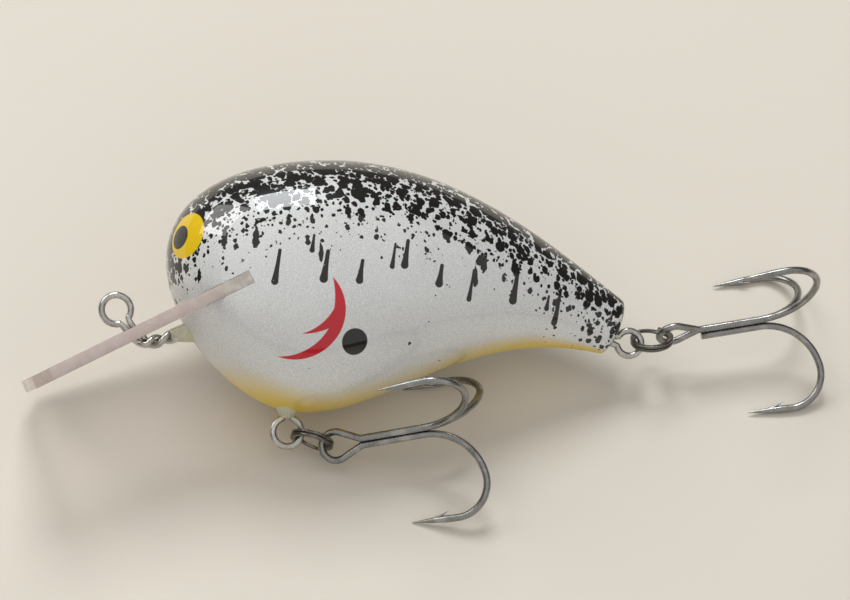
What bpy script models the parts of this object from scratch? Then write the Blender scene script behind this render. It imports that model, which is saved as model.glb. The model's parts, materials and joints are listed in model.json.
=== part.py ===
"""A fat-bodied square-billed crankbait, lying at rest on a flat surface.

A one-piece carved balsa body holds a polycarbonate diving lip in a sawn slot, three hangers of
twisted wire and a ballast slug. Split rings join two treble hooks to the belly and tail hangers.

Everything is designed in the lure's own frame, in millimetres: X runs from nose to tail, Y to the
lure's right side and Z to its back, from the middle of the body. The resting_lure empty then lays
the finished lure on the plane Z = 0, and converts to metres.
"""

import math

import bmesh
import bpy
from mathutils import Matrix, Vector
from mathutils.geometry import interpolate_bezier

MM = 0.001
FIT_GAP = 0.1  # between pieces that touch

# Body outline in side view: a knot and its two handles, front and rear, as (x, z)
NOSE = (-31.8, 3.4)
CROWN = (-9.2, 17.3)
TAIL_TOP = (31.4, -1.7)
BELLY = (-13.3, -17.3)
TAIL_BOTTOM = (28.3, -9.2)
TOP_HANDLES = ((-31.8, 12.7), (-22.2, 17.3)), ((7.8, 17.3), (20.6, 6.5))
BOTTOM_HANDLES = ((-31.8, -7.1), (-21.3, -17.3)), ((-0.3, -17.3), (9.5, -5.2))
TAIL_DOME = 1.3  # how far the rounded tail end stands out

# Body in plan: a blunt head, then a long taper
HALF_WIDTH = 13.0
WIDEST_X = -11.0
TAIL_HALF_WIDTH = 2.6
BACK_EXPONENTS = 2.15, 0.465  # the cross-section's shape: a plump back over a keeled belly
BELLY_EXPONENTS = 2.5, 0.75
STATIONS_PER_SPAN = 12
SECTION_POINTS = 40

# Diving lip: a flat plate with clipped corners, in a slot sawn across the chin
LIP_LENGTH = 33.0
LIP_WIDTH = 19.8  # in the slot, where its sides are parallel
LIP_FRONT_WIDTH = 23.6
LIP_FLARE_START = 7.0
LIP_THICKNESS = 1.7
LIP_SLOPE = math.radians(26)
LIP_ROOT = (-21.8, 0.6)  # middle of the edge that is deepest in the slot
LIP_CLIP = 2.2
LIP_SHOULDER = 1.2

# Hangers: one wire each, bent to a loop with its two ends twisted together
WIRE = 0.94
STRAND_GAP = 0.07
TWIST_PITCH = 4.4
LOOP_RADIUS = 1.98
TAIL_LOOP_RADIUS = 1.73
LINE_TIE_LOOP = (-38.7, -3.2)
LINE_TIE_HOLE = (-36.3, -6.6)
LINE_TIE_BEND = (-34.6, -7.9)
LINE_TIE_EXIT = (-29.2, -6.3)
LINE_TIE_END = (-18.5, -5.4)
BELLY_LOOP = (-15.4, -19.9)
BELLY_STEM_TOP = (-15.4, -4.6)
TAIL_LOOP = (32.5, -7.8)
TAIL_STEM_END = (16.5, -4.6)
BORE_RADIUS = 1.15

# Ballast slug cast round the belly stem, in a hole drilled from the belly and plugged
BALLAST_RADIUS = 4.9
BALLAST_BOTTOM = -13.0
BALLAST_TOP = -6.8

COLLAR_RADIUS = 1.9
COLLAR_LENGTH = 3.2

# Split rings: two turns of flat wire
RING_RADIUS = 2.68  # to the middle of the wire
RING_WIRE_DEPTH = 0.65
RING_WIRE_WIDTH = 0.42
RING_TURN_GAP = 0.08
RING_START = math.radians(125)
RING_FLAT_TURN = math.radians(295)
RING_STEP_TURN = math.radians(60)

# Treble hooks: a double hook bent from one wire, with a single hook brazed into its groove
HOOK_WIRE = 1.0
BRAZE_GAP = 0.06
EYE_RADIUS = 1.95
EYE_NECK = 3.6  # from the eye's centre to where the two shanks meet
SHANK_END = 12.2  # from the eye's centre to where the hooks leave the shank
BEND_RADII = (7.6, 4.7)
BEND_ANGLES = (math.radians(82), math.radians(183))
POINT_LENGTH = 6.3
POINT_TAPER = 4.6
BARB_FROM_POINT = 3.6
BARB_LENGTH = 1.7
BARB_HEIGHT = 1.0
SINGLE_SHANK_START = 3.9

# Where each ring and treble lies at rest, as angles in the lure's frame
BELLY_REST = {
    "ring": -17.8,
    "ring_roll": -13.0,
    "ring_reach": 3.6,
    "shank": 9.4,
    "lateral": -19.8,
    "treble_roll": -61.0,
    "eye_reach": 0.75,
    "eye_twist": -29,
}
TAIL_REST = {
    "ring": 8.8,
    "ring_roll": 30.0,
    "ring_reach": 3.3,
    "shank": 9.0,
    "lateral": -3.6,
    "treble_roll": 180.4,
    "eye_reach": 0.4,
    "eye_twist": -30,
}

# How the whole lure lies: rolled on to its right flank, and turned so that its tail drops
REST_ROLL = math.radians(-61)
REST_YAW = math.radians(6)


def flat(x, z, y=0.0):
    """A point of the lure's middle plane as a vector, or y off it."""
    return Vector((x, y, z))


def clear_scene():
    for obj in list(bpy.data.objects):
        bpy.data.objects.remove(obj)


def material(name, colour, roughness, metallic=0.0, alpha=1.0):
    made = bpy.data.materials.new(name)
    made.use_nodes = True
    shader = made.node_tree.nodes["Principled BSDF"]
    shader.inputs["Base Color"].default_value = (*colour, 1.0)
    shader.inputs["Roughness"].default_value = roughness
    shader.inputs["Metallic"].default_value = metallic
    shader.inputs["Alpha"].default_value = alpha
    return made


def object_from(name, bm, finish):
    mesh = bpy.data.meshes.new(name)
    bm.to_mesh(mesh)
    bm.free()
    mesh.shade_smooth()
    mesh.set_sharp_from_angle(angle=math.radians(35))
    obj = bpy.data.objects.new(name, mesh)
    bpy.context.scene.collection.objects.link(obj)
    if finish:
        mesh.materials.append(finish)
    return obj


def cutter(name, bm):
    obj = object_from(name, bm, None)
    obj.hide_render = True
    obj.display_type = "WIRE"
    return obj


def boolean(obj, other, operation="DIFFERENCE"):
    modifier = obj.modifiers.new(f"{operation.lower()} {other.name}", "BOOLEAN")
    modifier.operation = operation
    modifier.solver = "EXACT"
    modifier.object = other
    return obj


# ---------------------------------------------------------------- body


def outline(start, middle, end, handles):
    """Points along two joined Bezier spans of the side outline, without the first."""
    front, rear = handles
    count = STATIONS_PER_SPAN + 1
    first = interpolate_bezier(flat(*start), flat(*front[0]), flat(*front[1]), flat(*middle), count)
    second = interpolate_bezier(flat(*middle), flat(*rear[0]), flat(*rear[1]), flat(*end), count)
    return first[1:] + second[1:]


def half_width(x):
    """Half the body's width at x: a blunt superellipse ahead of the widest place, then a taper."""
    if x < WIDEST_X:
        share = min(1.0, (WIDEST_X - x) / (WIDEST_X - NOSE[0]))
        return HALF_WIDTH * (1 - share**2.4) ** 0.476
    share = min(1.0, (x - WIDEST_X) / (TAIL_BOTTOM[0] + 1.5 - WIDEST_X))
    return TAIL_HALF_WIDTH + (HALF_WIDTH - TAIL_HALF_WIDTH) * (1 - share**1.8) ** 1.15


def section(top, bottom, width):
    """One cross-section as points, level at the back and the belly and upright at the widest."""
    middle = (top + bottom) / 2
    up = (top - bottom) / 2
    points = []
    for i in range(SECTION_POINTS):
        angle = math.tau * i / SECTION_POINTS
        height, side = math.cos(angle), math.sin(angle)
        power, root = BACK_EXPONENTS if height > 0 else BELLY_EXPONENTS
        wide = math.copysign((1 - min(1.0, abs(height)) ** power) ** root, side)
        points.append(middle + up * height + Vector((0, width * wide, 0)))
    return points


def ring_of(bm, points):
    """A closed loop of edges through the points."""
    verts = [bm.verts.new(p) for p in points]
    return [bm.edges.new((a, b)) for a, b in zip(verts, verts[1:] + verts[:1])]


def poke_closed(bm, ring, tip):
    """Closes a loop with triangles to a tip."""
    face = bmesh.ops.contextual_create(bm, geom=ring)["faces"][0]
    hub = bmesh.ops.poke(bm, faces=[face])["verts"][0]
    hub.co = tip


def body_blank():
    """The carved body with nothing cut into it, lofted from nose to tail."""
    bm = bmesh.new()
    tops = outline(NOSE, CROWN, TAIL_TOP, TOP_HANDLES)
    bottoms = outline(NOSE, BELLY, TAIL_BOTTOM, BOTTOM_HANDLES)
    rings = []
    for top, bottom in zip(tops, bottoms):
        width = half_width((top.x + bottom.x) / 2)
        rings.append(ring_of(bm, section(top, bottom, width)))
    middle = (tops[-1] + bottoms[-1]) / 2
    across = tops[-1] - bottoms[-1]
    backward = Vector((across.z, 0, -across.x)).normalized()
    for angle in (30, 60):
        shrink = math.cos(math.radians(angle))
        push = backward * TAIL_DOME * math.sin(math.radians(angle))
        points = section(middle + across / 2 * shrink, middle - across / 2 * shrink, TAIL_HALF_WIDTH * shrink)
        rings.append(ring_of(bm, [p + push for p in points]))
    for before, after in zip(rings, rings[1:]):
        bmesh.ops.bridge_loops(bm, edges=before + after)
    poke_closed(bm, rings[0], flat(*NOSE))
    poke_closed(bm, rings[-1], middle + backward * TAIL_DOME)
    bmesh.ops.recalc_face_normals(bm, faces=bm.faces)
    return bm


def lip_matrix():
    """From the lip's own frame, X towards its tip and Z square to its face, to the lure's."""
    forward = Vector((-math.cos(LIP_SLOPE), 0, -math.sin(LIP_SLOPE)))
    side = Vector((0, -1, 0))
    turn = Matrix((forward, side, forward.cross(side))).transposed()
    return Matrix.Translation(flat(*LIP_ROOT)) @ turn.to_4x4()


def box(low, high, matrix=None):
    bm = bmesh.new()
    size = Vector(high) - Vector(low)
    bmesh.ops.create_cube(bm, size=1.0, matrix=Matrix.Translation((Vector(high) + Vector(low)) / 2))
    bmesh.ops.scale(bm, vec=size, space=Matrix.Translation(-(Vector(high) + Vector(low)) / 2), verts=bm.verts)
    bmesh.ops.transform(bm, matrix=matrix or Matrix(), verts=bm.verts)
    return bm


def rod(start, end, radius, end_radius=None, sides=20):
    """A cylinder or a cone between two points."""
    bm = bmesh.new()
    start, end = Vector(start), Vector(end)
    turn = (end - start).to_track_quat("Z", "Y").to_matrix().to_4x4()
    place = Matrix.Translation((start + end) / 2) @ turn
    bmesh.ops.create_cone(
        bm,
        cap_ends=True,
        segments=sides,
        radius1=radius,
        radius2=radius if end_radius is None else end_radius,
        depth=(end - start).length,
        matrix=place,
    )
    return bm


def slot_box(side=0, extra=FIT_GAP):
    """The sawn slot, or only the part of it outside the lip's left or right edge."""
    half = LIP_THICKNESS / 2 + extra
    reach = LIP_LENGTH * 0.7
    low, high = [-extra, -30, -half], [reach, 30, half]
    if side > 0:
        low[1] = LIP_WIDTH / 2 + FIT_GAP
    if side < 0:
        high[1] = -LIP_WIDTH / 2 - FIT_GAP
    return box(low, high, lip_matrix())


def make_body(finish):
    body = object_from("body", body_blank(), finish)
    line_tie_way = flat(*LINE_TIE_EXIT) - flat(*LINE_TIE_END)
    collar_way = (flat(*LINE_TIE_EXIT) - flat(*LINE_TIE_BEND)).normalized()
    tail_way = flat(*TAIL_LOOP) - flat(*TAIL_STEM_END)
    belly_top = flat(*BELLY_STEM_TOP)
    cuts = {
        "lip_slot": slot_box(),
        "line_tie_bore": rod(
            flat(*LINE_TIE_END) - line_tie_way.normalized() * FIT_GAP,
            flat(*LINE_TIE_EXIT) + line_tie_way * 0.5,
            BORE_RADIUS,
        ),
        "collar_seat": rod(
            flat(*LINE_TIE_EXIT) + collar_way * (1.0 + FIT_GAP),
            flat(*LINE_TIE_EXIT) - collar_way * 4,
            COLLAR_RADIUS + FIT_GAP,
        ),
        "tail_bore": rod(
            flat(*TAIL_STEM_END) - tail_way.normalized() * FIT_GAP,
            flat(*TAIL_LOOP),
            BORE_RADIUS,
        ),
        "belly_bore": rod(belly_top + Vector((0, 0, FIT_GAP)), flat(*BELLY_LOOP), BORE_RADIUS),
        "ballast_pocket": rod(
            flat(BELLY_LOOP[0], BALLAST_TOP + FIT_GAP),
            flat(BELLY_LOOP[0], BELLY_LOOP[1]),
            BALLAST_RADIUS + FIT_GAP,
            sides=28,
        ),
    }
    for name, bm in cuts.items():
        boolean(body, cutter(name, bm))
    return body


def make_ballast(finish):
    top = flat(BELLY_LOOP[0], BALLAST_TOP)
    bottom = flat(BELLY_LOOP[0], BALLAST_BOTTOM)
    slug = object_from("belly_ballast", rod(bottom, top, BALLAST_RADIUS, sides=28), finish)
    through = rod(bottom - Vector((0, 0, 1)), top + Vector((0, 0, 1)), BORE_RADIUS)
    return boolean(slug, cutter("ballast_bore", through))


def make_belly_plug(finish):
    """Filler that closes the drilled hole under the ballast, sanded flush with the belly."""
    top = flat(BELLY_LOOP[0], BALLAST_BOTTOM - FIT_GAP)
    plug = object_from("belly_plug", body_blank(), finish)
    boolean(plug, cutter("plug_limit", rod(flat(BELLY_LOOP[0], -22), top, BALLAST_RADIUS, sides=28)), "INTERSECT")
    through = rod(flat(BELLY_LOOP[0], -24), flat(BELLY_LOOP[0], -4), BORE_RADIUS)
    return boolean(plug, cutter("plug_bore", through))


def make_lip_glue(name, side, finish):
    """Epoxy that fills the slot where the body is wider than the lip."""
    glue = object_from(name, body_blank(), finish)
    return boolean(glue, cutter(name + "_limit", slot_box(side, extra=0.0)), "INTERSECT")


# ---------------------------------------------------------------- lip


def make_lip(finish):
    half = LIP_WIDTH / 2
    front_half = LIP_FRONT_WIDTH / 2
    outline_points = [
        (0, half - LIP_SHOULDER),
        (LIP_SHOULDER, half),
        (LIP_FLARE_START, half),
        (LIP_LENGTH - LIP_CLIP, front_half),
        (LIP_LENGTH, front_half - LIP_CLIP),
    ]
    outline_points += [(x, -y) for x, y in reversed(outline_points)]
    bm = bmesh.new()
    face = bm.faces.new([bm.verts.new((x, y, -LIP_THICKNESS / 2)) for x, y in outline_points])
    grown = bmesh.ops.extrude_face_region(bm, geom=[face])["geom"]
    moved = [v for v in grown if isinstance(v, bmesh.types.BMVert)]
    bmesh.ops.translate(bm, vec=(0, 0, LIP_THICKNESS), verts=moved)
    bmesh.ops.recalc_face_normals(bm, faces=bm.faces)
    bmesh.ops.transform(bm, matrix=lip_matrix(), verts=bm.verts)
    lip = object_from("lip", bm, finish)
    way = (flat(*LINE_TIE_LOOP) - flat(*LINE_TIE_HOLE)).normalized()
    hole = rod(flat(*LINE_TIE_HOLE) - way * 2.5, flat(*LINE_TIE_HOLE) + way * 2.5, BORE_RADIUS + 0.15)
    return boolean(lip, cutter("line_tie_hole", hole))


# ---------------------------------------------------------------- wires


def wire(name, points, diameter, finish, radii=None):
    """A round wire as a curve through the points, with a share of its radius at each."""
    data = bpy.data.curves.new(name, "CURVE")
    data.dimensions = "3D"
    data.bevel_depth = diameter / 2
    data.bevel_resolution = 2
    data.use_fill_caps = True
    spline = data.splines.new("POLY")
    spline.points.add(len(points) - 1)
    for i, (made, point) in enumerate(zip(spline.points, points)):
        made.co = (*point, 1.0)
        made.radius = radii[i] if radii else 1.0
    data.materials.append(finish)
    obj = bpy.data.objects.new(name, data)
    bpy.context.scene.collection.objects.link(obj)
    return obj


def along(points, step):
    """The polyline walked in equal steps of about this length."""
    lengths = [0.0]
    for a, b in zip(points, points[1:]):
        lengths.append(lengths[-1] + (b - a).length)
    count = max(2, round(lengths[-1] / step) + 1)
    walked = []
    index = 0
    for i in range(count):
        target = lengths[-1] * i / (count - 1)
        while index < len(points) - 2 and lengths[index + 1] < target:
            index += 1
        share = (target - lengths[index]) / (lengths[index + 1] - lengths[index])
        walked.append(points[index].lerp(points[index + 1], share))
    return walked


def hanger(name, loop, stem, loop_radius, straight, finish):
    """One wire: up a twisted stem, round a loop and back down as the other strand.

    loop is the loop's centre and stem the stem's middle line, from the loop outwards. The strands
    run side by side for the straight length below the loop before they twist.
    """
    centre = flat(*loop)
    stem_line = along([centre, *stem], 0.42)
    spread = (WIRE + STRAND_GAP) / 2
    first, second = [], []
    travelled = 0.0
    for before, here, after in zip(stem_line, stem_line[1:], stem_line[2:]):
        travelled += (here - before).length
        if travelled < loop_radius + 0.55:
            continue
        direction = (after - before).normalized()
        side = direction.cross(Vector((0, 1, 0))).normalized()
        turn = max(0.0, travelled - loop_radius - straight) * math.tau / TWIST_PITCH
        offset = side * math.cos(turn) + Vector((0, 1, 0)) * math.sin(turn)
        first.append(here + offset * spread)
        second.append(here - offset * spread)
    outward = (stem_line[1] - centre).normalized()
    side = outward.cross(Vector((0, 1, 0))).normalized()
    opening = math.asin(spread / loop_radius) + math.radians(14)
    steps = 22
    arc = []
    for i in range(steps + 1):
        angle = opening + (math.tau - 2 * opening) * i / steps
        arc.append(centre + (outward * math.cos(angle) + side * math.sin(angle)) * loop_radius)
    return wire(name, first[::-1] + arc + second, WIRE, finish)


def make_split_ring(name, finish):
    """Two flat turns of wire about the ring's own Z axis, joined by a step at one side."""
    pitch = RING_WIRE_WIDTH + RING_TURN_GAP
    inner, outer = RING_RADIUS - RING_WIRE_DEPTH / 2, RING_RADIUS + RING_WIRE_DEPTH / 2
    low, high = -pitch / 2 - RING_WIRE_WIDTH / 2, -pitch / 2 + RING_WIRE_WIDTH / 2
    bm = bmesh.new()
    corners = [(inner, 0, low), (outer, 0, low), (outer, 0, high), (inner, 0, high)]
    face = bm.faces.new([bm.verts.new(c) for c in corners])
    bmesh.ops.rotate(bm, cent=(0, 0, 0), matrix=Matrix.Rotation(RING_START, 3, "Z"), verts=bm.verts)
    geometry = [face, *face.edges, *face.verts]
    for angle, steps, rise in ((RING_FLAT_TURN, 24, 0.0), (RING_STEP_TURN, 6, pitch), (RING_FLAT_TURN, 24, 0.0)):
        geometry = bmesh.ops.spin(
            bm,
            geom=geometry,
            cent=(0, 0, 0),
            axis=(0, 0, 1),
            dvec=(0, 0, rise / steps),
            angle=angle,
            steps=steps,
        )["geom_last"]
    bmesh.ops.recalc_face_normals(bm, faces=bm.faces)
    return object_from(name, bm, finish)


# ---------------------------------------------------------------- treble hooks


def hook_profile(start_s, start_r):
    """A hook's middle line from the end of its shank to its point, as (along, outward)."""
    s, r, heading = start_s, start_r, 0.0
    points = [(s, r)]
    for radius, until in zip(BEND_RADII, BEND_ANGLES):
        steps = max(4, round((until - heading) * radius / 0.95))
        turn = (until - heading) / steps
        for _ in range(steps):
            chord = 2 * radius * math.sin(turn / 2)
            s += chord * math.cos(heading + turn / 2)
            r += chord * math.sin(heading + turn / 2)
            heading += turn
            points.append((s, r))
    for i in range(1, 6):
        reach = POINT_LENGTH * i / 5
        points.append((s + reach * math.cos(heading), r + reach * math.sin(heading)))
    return points


def hook_radii(points):
    """The wire's share of its full radius at each point: full, then a long taper to the point."""
    left = 0.0
    shares = [0.1]
    for a, b in zip(points[::-1], points[-2::-1]):
        left += (b - a).length
        shares.append(min(1.0, 0.1 + 0.9 * (left / POINT_TAPER) ** 0.8))
    return shares[::-1]


def outward_direction(index):
    """Which way hook 0, 1 or 2 points, round the shank: hook 0 is the brazed single."""
    angle = math.radians(90 + 120 * index)
    return Vector((0, math.cos(angle), math.sin(angle)))


SHANK_RADIUS = (HOOK_WIRE + BRAZE_GAP) / math.sqrt(3)  # three touching wires about one axis


def hook_line(index):
    """Hook index in the treble's frame: X along the shank, the eye's centre at the origin."""
    way = outward_direction(index)
    return [Vector((s, 0, 0)) + way * r for s, r in hook_profile(SHANK_END, SHANK_RADIUS)]


def add_barb(hook, index, finish):
    """A sliver raised from the wire on the side that faces the shank, its tip towards the bend."""
    line = hook_line(index)
    way = outward_direction(index)
    back = (line[-2] - line[-1]).normalized()
    seat = line[-1] + back * BARB_FROM_POINT
    tip = seat + back * BARB_LENGTH - way * BARB_HEIGHT
    barb = object_from(f"{hook.name}_barb_{index}", rod(seat - back * 0.5, tip, 0.26, 0.05, sides=6), finish)
    barb.hide_render = True
    barb.display_type = "WIRE"
    barb.parent = hook
    return boolean(hook, barb, "UNION")


def meshed(curve_object):
    """The same object as a mesh, so that a Boolean can join to it."""
    graph = bpy.context.evaluated_depsgraph_get()
    mesh = bpy.data.meshes.new_from_object(curve_object.evaluated_get(graph))
    bm = bmesh.new()
    bm.from_mesh(mesh)
    bmesh.ops.remove_doubles(bm, verts=bm.verts, dist=0.0001)
    name = curve_object.name
    finish = mesh.materials[0]
    bpy.data.objects.remove(curve_object)
    return object_from(name, bm, finish)


def make_double_hook(name, eye_twist, finish):
    """One wire: a point, its bend and shank, the eye, and the second shank, bend and point.

    eye_twist turns the eye about the shank, in degrees.
    """
    left, right = hook_line(1), hook_line(2)
    neck_left = Vector((EYE_NECK, left[0].y, left[0].z))
    neck_right = Vector((EYE_NECK, right[0].y, right[0].z))
    level = left[0].z
    reach = math.hypot(EYE_NECK, abs(neck_left.y))
    tangent = math.acos(EYE_RADIUS / reach) + math.atan2(abs(neck_left.y), EYE_NECK)
    sign = math.copysign(1, neck_left.y)
    eye = []
    steps = 20
    for i in range(steps + 1):
        angle = tangent + (math.tau - 2 * tangent) * i / steps
        round_eye = Vector((EYE_RADIUS * math.cos(angle), sign * EYE_RADIUS * math.sin(angle), 0))
        round_eye.rotate(Matrix.Rotation(math.radians(eye_twist), 3, "X"))
        eye.append(round_eye + Vector((0, 0, level)))
    shank = [left[0].lerp(neck_left, i / 6) for i in range(1, 7)]
    return_shank = [neck_right.lerp(right[0], i / 6) for i in range(6)]
    points = left[::-1] + shank + eye + return_shank + right
    radii = hook_radii(left)[::-1] + [1.0] * (len(shank) + len(eye) + len(return_shank)) + hook_radii(right)
    hook = meshed(wire(name, points, HOOK_WIRE, finish, radii))
    return add_barb(add_barb(hook, 1, finish), 2, finish)


def make_single_hook(name, finish):
    """The third hook, whose straight shank is brazed into the double's groove."""
    line = hook_line(0)
    start = Vector((SINGLE_SHANK_START, line[0].y, line[0].z))
    points = [start.lerp(line[0], i / 6) for i in range(6)] + line
    hook = meshed(wire(name, points, HOOK_WIRE, finish, [1.0] * 6 + hook_radii(line)))
    return add_barb(hook, 0, finish)


# ---------------------------------------------------------------- assembly


def frame_of(along_x, roll):
    """A rotation whose X is along_x, with Y kept level in the lure's frame and then rolled."""
    x = along_x.normalized()
    z = x.cross(Vector((0, 1, 0))).normalized()
    y = z.cross(x)
    return Matrix((x, y, z)).transposed().to_4x4() @ Matrix.Rotation(math.radians(roll), 4, "X")


def empty_at(name, matrix, parent):
    empty = bpy.data.objects.new(name, None)
    bpy.context.scene.collection.objects.link(empty)
    empty.parent = parent
    empty.matrix_local = matrix
    return empty


def hang(kind, loop, rest, ring, hooks, lure):
    """Threads a split ring on a hanger's loop, and a treble on the ring."""
    angle = math.radians(rest["ring"])
    ring_way = Vector((math.cos(angle), 0, math.sin(angle)))
    loop_joint = empty_at(f"{kind}_ring_joint", Matrix.Translation(flat(*loop)), lure)
    ring_centre = ring_way * rest["ring_reach"]
    ring.parent = loop_joint
    ring.matrix_local = Matrix.Translation(ring_centre) @ frame_of(ring_way, rest["ring_roll"])
    shank = math.radians(rest["shank"])
    side = math.radians(rest["lateral"])
    shank_way = Vector((math.cos(shank) * math.cos(side), math.sin(side), math.sin(shank) * math.cos(side)))
    eye_centre = ring_way * RING_RADIUS + shank_way * rest["eye_reach"]
    ring_joint = empty_at(f"{kind}_treble_joint", Matrix.Translation(ring_centre), loop_joint)
    for hook in hooks:
        hook.parent = ring_joint
        hook.matrix_local = Matrix.Translation(eye_centre) @ frame_of(shank_way, rest["treble_roll"])


def lay_down(lure):
    """Turns the lure to its rest, in metres, over the origin with its lowest point at Z = 0."""
    turn = Matrix.Rotation(REST_ROLL, 4, "X") @ Matrix.Rotation(REST_YAW, 4, "Z")
    lure.matrix_world = Matrix.Scale(MM, 4) @ turn
    bpy.context.view_layer.update()
    graph = bpy.context.evaluated_depsgraph_get()
    points = []
    for obj in bpy.data.objects:
        if obj.type in {"MESH", "CURVE"} and not obj.hide_render:
            evaluated = obj.evaluated_get(graph)
            points += [evaluated.matrix_world @ v.co for v in evaluated.to_mesh().vertices]
    low = Vector([min(p[axis] for p in points) for axis in range(3)])
    high = Vector([max(p[axis] for p in points) for axis in range(3)])
    lure.location = (-(low.x + high.x) / 2, -(low.y + high.y) / 2, -low.z)


def main():
    """Builds every piece, then lays the lure down."""
    clear_scene()
    balsa = material("painted_balsa", (0.72, 0.72, 0.70), 0.2)
    clear_plastic = material("clear_polycarbonate", (0.62, 0.56, 0.52), 0.15, alpha=0.6)
    epoxy = material("epoxy", (0.62, 0.58, 0.46), 0.25, alpha=0.8)
    steel = material("stainless_wire", (0.48, 0.47, 0.45), 0.3, 1.0)
    ring_steel = material("black_nickel_ring", (0.09, 0.08, 0.08), 0.3, 1.0)
    hook_steel = material("black_nickel_hook", (0.25, 0.25, 0.25), 0.28, 1.0)
    lead = material("lead", (0.24, 0.24, 0.26), 0.6, 1.0)

    lure = empty_at("resting_lure", Matrix(), None)
    collar_way = (flat(*LINE_TIE_BEND) - flat(*LINE_TIE_EXIT)).normalized()
    collar_start = flat(*LINE_TIE_EXIT) - collar_way
    collar = object_from(
        "nose_glue_collar",
        rod(collar_start, collar_start + collar_way * COLLAR_LENGTH, COLLAR_RADIUS, 1.35),
        epoxy,
    )
    boolean(collar, cutter("collar_bore", rod(collar_start - collar_way, collar_start + collar_way * 6, BORE_RADIUS)))
    line_tie_stem = [flat(*LINE_TIE_HOLE), flat(*LINE_TIE_BEND), flat(*LINE_TIE_EXIT), flat(*LINE_TIE_END)]
    fixed = [
        make_body(balsa),
        make_lip(clear_plastic),
        make_lip_glue("lip_glue_left", 1, epoxy),
        make_lip_glue("lip_glue_right", -1, epoxy),
        make_ballast(lead),
        make_belly_plug(epoxy),
        collar,
        hanger("line_tie_wire", LINE_TIE_LOOP, line_tie_stem, LOOP_RADIUS, 3.4, steel),
        hanger("belly_hanger", BELLY_LOOP, [flat(*BELLY_STEM_TOP)], LOOP_RADIUS, 0.8, steel),
        hanger("tail_hanger", TAIL_LOOP, [flat(*TAIL_STEM_END)], TAIL_LOOP_RADIUS, 0.8, steel),
    ]
    for piece in fixed:
        piece.parent = lure
    for obj in bpy.data.objects:
        if obj.parent is None and obj is not lure:
            obj.parent = lure
    for kind, loop, rest in (("belly", BELLY_LOOP, BELLY_REST), ("tail", TAIL_LOOP, TAIL_REST)):
        ring = make_split_ring(f"{kind}_split_ring", ring_steel)
        double = make_double_hook(f"{kind}_treble_double_hook", rest["eye_twist"], hook_steel)
        single = make_single_hook(f"{kind}_treble_single_hook", hook_steel)
        hang(kind, loop, rest, ring, (double, single), lure)
    lay_down(lure)


main()
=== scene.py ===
"""A hand-carved, square-billed crankbait with its painted body, clear lip, twisted wire and trebles.

Lengths are millimetres in the lure's own frame, X from nose to tail, Y to its right side and Z to
its back, from the middle of the body. LureFrame carries them to where the lure lies.
"""

import json
import logging
import math
from collections.abc import Sequence
from dataclasses import dataclass, field
from enum import Enum

import bmesh
import bpy
from mathutils import Matrix, Vector
from mathutils.geometry import interpolate_bezier

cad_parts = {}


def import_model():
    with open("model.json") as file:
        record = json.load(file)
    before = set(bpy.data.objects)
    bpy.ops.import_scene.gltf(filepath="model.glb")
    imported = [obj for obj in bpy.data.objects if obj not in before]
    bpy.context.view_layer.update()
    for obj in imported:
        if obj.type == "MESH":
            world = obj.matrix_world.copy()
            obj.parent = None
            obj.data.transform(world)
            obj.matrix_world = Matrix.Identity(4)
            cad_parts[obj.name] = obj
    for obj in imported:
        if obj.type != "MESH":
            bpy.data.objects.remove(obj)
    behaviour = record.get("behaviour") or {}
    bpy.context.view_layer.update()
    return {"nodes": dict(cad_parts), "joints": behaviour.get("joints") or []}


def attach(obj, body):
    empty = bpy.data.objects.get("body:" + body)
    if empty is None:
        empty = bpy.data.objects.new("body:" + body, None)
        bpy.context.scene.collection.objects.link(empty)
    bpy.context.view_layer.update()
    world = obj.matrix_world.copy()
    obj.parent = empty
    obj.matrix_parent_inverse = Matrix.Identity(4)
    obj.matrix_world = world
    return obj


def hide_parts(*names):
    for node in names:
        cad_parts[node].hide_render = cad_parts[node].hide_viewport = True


log = logging.getLogger("crankbait")

MM = 0.001
SMOOTH_ANGLE = math.radians(35)
Colour = tuple[float, float, float]


class Side(Enum):
    """The lure's two sides, as signs of Y."""

    LEFT = -1
    RIGHT = 1


class Station(Enum):
    """The two places where a treble hangs."""

    BELLY = "belly"
    TAIL = "tail"


# ---------------------------------------------------------------- places


def flat(x: float, z: float) -> Vector:
    """A point of the lure's middle plane."""
    return Vector((x, 0.0, z))


@dataclass(frozen=True)
class LureFrame:
    """The lure's own frame, in millimetres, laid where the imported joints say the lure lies."""

    to_world: Matrix

    @classmethod
    def from_joints(cls, joints: Sequence[dict], belly: Vector, tail: Vector) -> "LureFrame":
        """Finds the frame from the two ring hinges, which lie on the lure's Y axis.

        Args:
            joints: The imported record's joints.
            belly: The belly hinge's place in the lure's frame.
            tail: The tail hinge's place in the lure's frame.

        Returns:
            The frame that puts both hinges where the joints are.
        """
        named = {joint["name"]: joint for joint in joints}
        belly_world = Vector(named["belly_ring_swing"]["pos_m"])
        tail_world = Vector(named["tail_ring_swing"]["pos_m"])
        across = Vector(named["belly_ring_swing"]["axis"]).normalized()
        along = (tail_world - belly_world).normalized()
        lift = math.atan2(tail.z - belly.z, tail.x - belly.x)
        square = along.cross(across)
        x = along * math.cos(lift) - square * math.sin(lift)
        z = along * math.sin(lift) + square * math.cos(lift)
        turn = Matrix((x, across, z)).transposed().to_4x4() @ Matrix.Scale(MM, 4)
        origin = belly_world - turn @ belly
        return cls(Matrix.Translation(origin) @ turn)


# ---------------------------------------------------------------- meshes


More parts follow.
